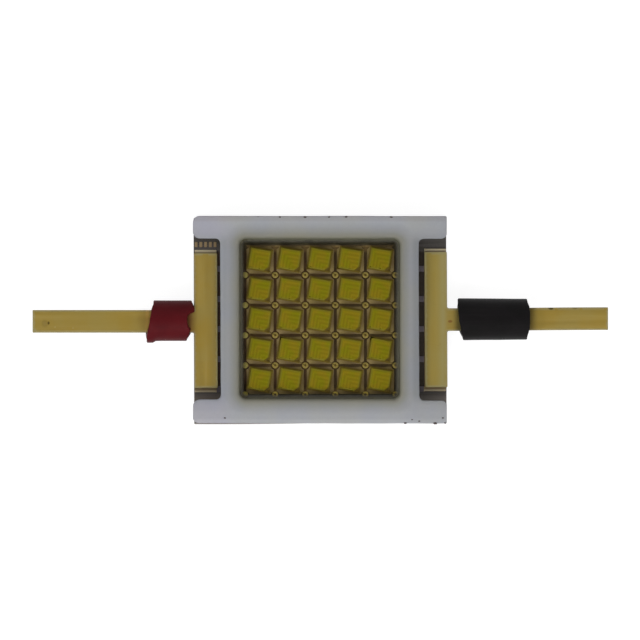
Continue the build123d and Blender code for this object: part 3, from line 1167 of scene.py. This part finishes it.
def make_sleeve(name, node, material, slot, ends, axis_y, widths, foot, seed):
    """A length of shrink tube. Its ends are (y share, x) lines for the upper and the lower half of each end.

    widths stretch its two ends across, and foot is how far the low edge of its first end is turned out.
    """
    low, high = node_box(node)
    radius = (high.z - low.z) / 2
    around = 72
    steps = 36
    dent_depth = 0.010
    shell = Shell()

    def end_at(end, angle):
        share = cos(angle)
        upper = broken_line(ends[end][0], share)
        lower = broken_line(ends[end][1], share)
        ragged = 0.012 * noise.noise(Vector((3.0 * cos(angle), 3.0 * sin(angle), seed + 5 * end)))
        return lower + (upper - lower) * smooth(sin(angle), -0.25, 0.25) + ragged

    def ring_at(share, ring_radius):
        points = []
        for k in range(around):
            angle = 2 * pi * k / around
            x = end_at(0, angle) + (end_at(1, angle) - end_at(0, angle)) * share
            wave = noise.noise(Vector((x * 1.3, 1.4 * cos(angle), 1.4 * sin(angle) + seed)))
            dent = dent_depth * (0.5 + 0.5 * wave)
            reach = ring_radius - dent
            widen = widths[0] + (widths[1] - widths[0]) * share
            turned_out = foot * smooth(-cos(angle), 0.55, 0.95) * smooth(share, 0.24, 0.13)
            y = axis_y + widen * reach * cos(angle) - turned_out
            points.append((x, y, radius + reach * sin(angle)))
        return shell.row(points)

    edge = 0.05
    length = abs(high.x - low.x)
    rounds = [(0.0, edge), (0.15 * edge, 0.4 * edge), (0.5 * edge, 0.1 * edge), (edge, 0.0)]
    outside = [ring_at(a / length, radius - r) for a, r in rounds]
    for k in range(1, steps):
        outside.append(ring_at(edge / length + (1 - 2 * edge / length) * k / steps, radius))
    outside += [ring_at(1 - a / length, radius - r) for a, r in reversed(rounds)]
    inside_radius = radius - sleeve_wall
    inside_rings = [ring_at(k / 8, inside_radius + dent_depth) for k in range(9)]
    shell.skin(outside, outward=False)
    shell.skin(inside_rings)
    shell.bridge(outside[0], inside_rings[0])
    shell.bridge(inside_rings[-1], outside[-1])
    return finished(shell.build(name, material), slot, node)


def make_specks(name, places, size, slot):
    """Grains of dirt half sunk in a face, each of its own shape."""
    shell = Shell()
    for number, (x, y, z, scale) in enumerate(places):
        rings = []
        for level in range(1, 4):
            angle = pi * level / 4 - pi / 2
            points = []
            for k in range(9):
                turn = 2 * pi * k / 9
                bulge = 1 + 0.45 * swell((cos(turn), sin(turn), level), 0.8, number)
                reach = size * scale * cos(angle) * bulge
                grain_y = min(max(y + 0.8 * reach * sin(turn), -body_half), body_half)
                grain_z = z + 0.45 * size * scale * sin(angle)
                points.append((x + 1.25 * reach * cos(turn), grain_y, grain_z))
            rings.append(shell.row(points))
        shell.skin(rings)
        shell.faces.append(tuple(reversed(rings[0])))
        shell.faces.append(tuple(rings[-1]))
    return finished(shell.build(name, grit), slot)


dress("back_pad", solder_pad)
make_base()
make_moulding()
make_pattern()
for row, cell_y in enumerate(reversed(cell_offsets), 1):
    for column, cell_x in enumerate(cell_offsets, 1):
        make_die(f"die_r{row}_c{column}", cell_x, cell_y)
        make_plate(f"phosphor_r{row}_c{column}", cell_x, cell_y, 1.7 * row + 0.9 * column)
make_wires()
make_gel()
make_lead(
    "red_side_ribbon",
    "anode_lead",
    side=-1,
    bar_x=(bar_inner - 0.047, body_end - 0.006),
    bar_y=(-bar_half - 0.01, bar_half - 0.015),
    stem_centre=-0.048,
    bend=0.0,
)
make_lead(
    "black_side_ribbon",
    "cathode_lead",
    side=1,
    bar_x=(bar_inner + 0.020, body_end + 0.024),
    bar_y=(-bar_half + 0.02, bar_half + 0.035),
    stem_centre=0.027,
    bend=0.04,
)

# Each line runs from the low side (-1) to the high side (1) of the tube. The red tube is torn, and the
# black one is cut askew.
red_ends = [
    (
        [
            (-1.0, -7.30),
            (-0.80, -7.33),
            (-0.64, -7.29),
            (-0.42, -7.24),
            (0.0, -7.19),
            (0.5, -7.12),
            (1.0, -7.03),
        ],
        [(-1.0, -7.33), (-0.7, -7.37), (0.0, -7.26), (1.0, -7.05)],
    ),
    (
        [
            (-1.0, -5.65),
            (-0.74, -5.55),
            (-0.50, -5.48),
            (-0.34, -5.58),
            (0.0, -5.615),
            (0.30, -5.59),
            (0.42, -5.51),
            (0.64, -5.30),
            (0.86, -5.38),
            (1.0, -5.42),
        ],
        [
            (-1.0, -5.63),
            (-0.6, -5.46),
            (-0.3, -5.56),
            (0.0, -5.58),
            (0.4, -5.50),
            (0.66, -5.32),
            (1.0, -5.42),
        ],
    ),
]
black_ends = [
    (
        [(-1.0, 6.03), (-0.5, 5.92), (0.0, 5.85), (0.6, 5.81), (1.0, 5.81)],
        [(-1.0, 6.01), (-0.5, 5.86), (0.0, 5.80), (0.6, 5.79), (1.0, 5.80)],
    ),
    (
        [(-1.0, 8.73), (-0.4, 8.84), (0.2, 8.85), (0.6, 8.82), (1.0, 8.73)],
        [(-1.0, 8.73), (-0.4, 8.84), (0.2, 8.84), (1.0, 8.73)],
    ),
]
make_sleeve(
    "red_shrink_tube",
    "anode_sleeve",
    red_tube,
    "red_sleeve",
    red_ends,
    axis_y=-0.019,
    widths=(1.005, 1.0),
    foot=0.075,
    seed=1.3,
)
make_sleeve(
    "black_shrink_tube",
    "cathode_sleeve",
    black_tube,
    "black_sleeve",
    black_ends,
    axis_y=0.041,
    widths=(1.035, 1.010),
    foot=0.0,
    seed=6.1,
)

edge_height = moulding_top - 0.035
face_height = moulding_top - 0.020
make_specks(
    "frame_grit",
    [
        (-2.62, 4.35, edge_height, 0.7),
        (-1.70, 4.34, edge_height, 1.0),
        (-0.64, 4.34, edge_height, 1.2),
        (0.37, 4.34, edge_height, 1.0),
        (1.09, 4.35, edge_height, 1.2),
        (2.99, 4.34, edge_height, 1.3),
        (1.30, 4.14, face_height, 0.8),
        (1.64, 4.12, face_height, 0.7),
        (-4.02, -4.12, face_height, 1.1),
        (3.87, -4.19, face_height, 1.0),
        (4.17, -4.25, face_height, 0.9),
        (5.16, -4.12, face_height, 1.1),
        (3.58, -4.34, edge_height, 1.3),
        (4.84, -4.34, edge_height, 1.5),
        (5.26, -4.33, edge_height, 1.0),
    ],
    0.045,
    "base_ceramic",
)


# Stage: floor, lamps, sky and camera

def make_floor(size=1.5):
    """A pale floor. Camera, mirror and see-through rays see it glow, and it keeps the part's shadow."""
    glow_strength = 0.885
    g = Graph("pale_floor")
    rays = g.node("LightPath")
    seen = g.most(rays["Is Camera Ray"], rays["Is Glossy Ray"])
    seen = g.most(seen, rays["Is Transmission Ray"])
    soft = g.node("BsdfDiffuse", {0: (0.24, 0.24, 0.24, 1)})[0]
    glow = g.node("Emission", {"Strength": g.times(seen, glow_strength)})[0]
    both = g.node("AddShader", {0: soft, 1: glow})[0]
    gone = g.node("BsdfTransparent")[0]
    from_below = g.node("NewGeometry")["Backfacing"]
    mesh = bpy.data.meshes.new("floor")
    corners = [(-size, -size, 0), (size, -size, 0), (size, size, 0), (-size, size, 0)]
    mesh.from_pydata(corners, [], [(0, 1, 2, 3)])
    mesh.materials.append(g.end(g.mix_shader(from_below, both, gone)))
    floor = bpy.data.objects.new("floor", mesh)
    bpy.context.scene.collection.objects.link(floor)


def add_lamp(name, azimuth, elevation, share, size):
    """A square lamp aimed at the part. share is its part of the light at which white renders as white."""
    distance = 0.12
    a, e = radians(azimuth), radians(elevation)
    away = Vector((sin(a) * cos(e), -cos(a) * cos(e), sin(e)))
    light = bpy.data.lights.new(name, "AREA")
    light.size = size
    light.energy = share * pi * pi * distance**2 / sin(e)
    lamp = bpy.data.objects.new(name, light)
    lamp.location = away * distance
    lamp.rotation_euler = away.to_track_quat("Z", "Y").to_euler()
    lamp.visible_camera = False
    lamp.visible_glossy = False
    bpy.context.scene.collection.objects.link(lamp)


def make_sky(ambient, mirrored):
    """An even pale surround, white to the camera, with a dark opening overhead where the camera stands."""
    g = Graph("surround", world=True)
    bpy.context.scene.world = g.owner
    rays = g.node("LightPath")
    upward = g.sides(g.node("TexCoord")["Generated"])[2]
    outer_angle, inner_angle = radians(28), radians(12)
    opening = g.span(upward, cos(outer_angle), cos(inner_angle))
    level = g.plus(ambient, g.times(rays["Is Glossy Ray"], mirrored - ambient))
    level = g.times(level, g.less(1.0, opening))
    seen = g.most(rays["Is Camera Ray"], rays["Is Transmission Ray"])
    g.end(g.node("Background", {"Strength": g.most(level, seen)})[0])


def make_camera():
    """Straight above, through a long lens, at the photograph's scale."""
    photo_size = 640
    pixels_per_mm = 23.7
    centre_column = 320.3
    centre_row = 320.2
    lens = 800
    sensor = 36
    view = photo_size / pixels_per_mm
    camera_data = bpy.data.cameras.new("camera")
    camera_data.lens = lens
    camera_data.sensor_width = sensor
    camera_data.clip_start = 0.01
    camera_data.clip_end = 10
    height = view * lens / sensor + pattern_top
    camera = bpy.data.objects.new("camera", camera_data)
    offset_x = (photo_size / 2 - centre_column) / pixels_per_mm
    offset_y = (centre_row - photo_size / 2) / pixels_per_mm
    camera.location = Vector((offset_x, offset_y, height)) * MM
    bpy.context.scene.collection.objects.link(camera)
    bpy.context.scene.camera = camera


make_floor()
add_lamp("key", 0, 48, 0.49, 0.07)
add_lamp("left", -90, 45, 0.15, 0.08)
add_lamp("right", 90, 45, 0.06, 0.08)
add_lamp("back", 180, 50, 0.10, 0.08)
make_sky(ambient=0.49, mirrored=0.85)
make_camera()

bpy.context.scene.view_settings.view_transform = "Standard"
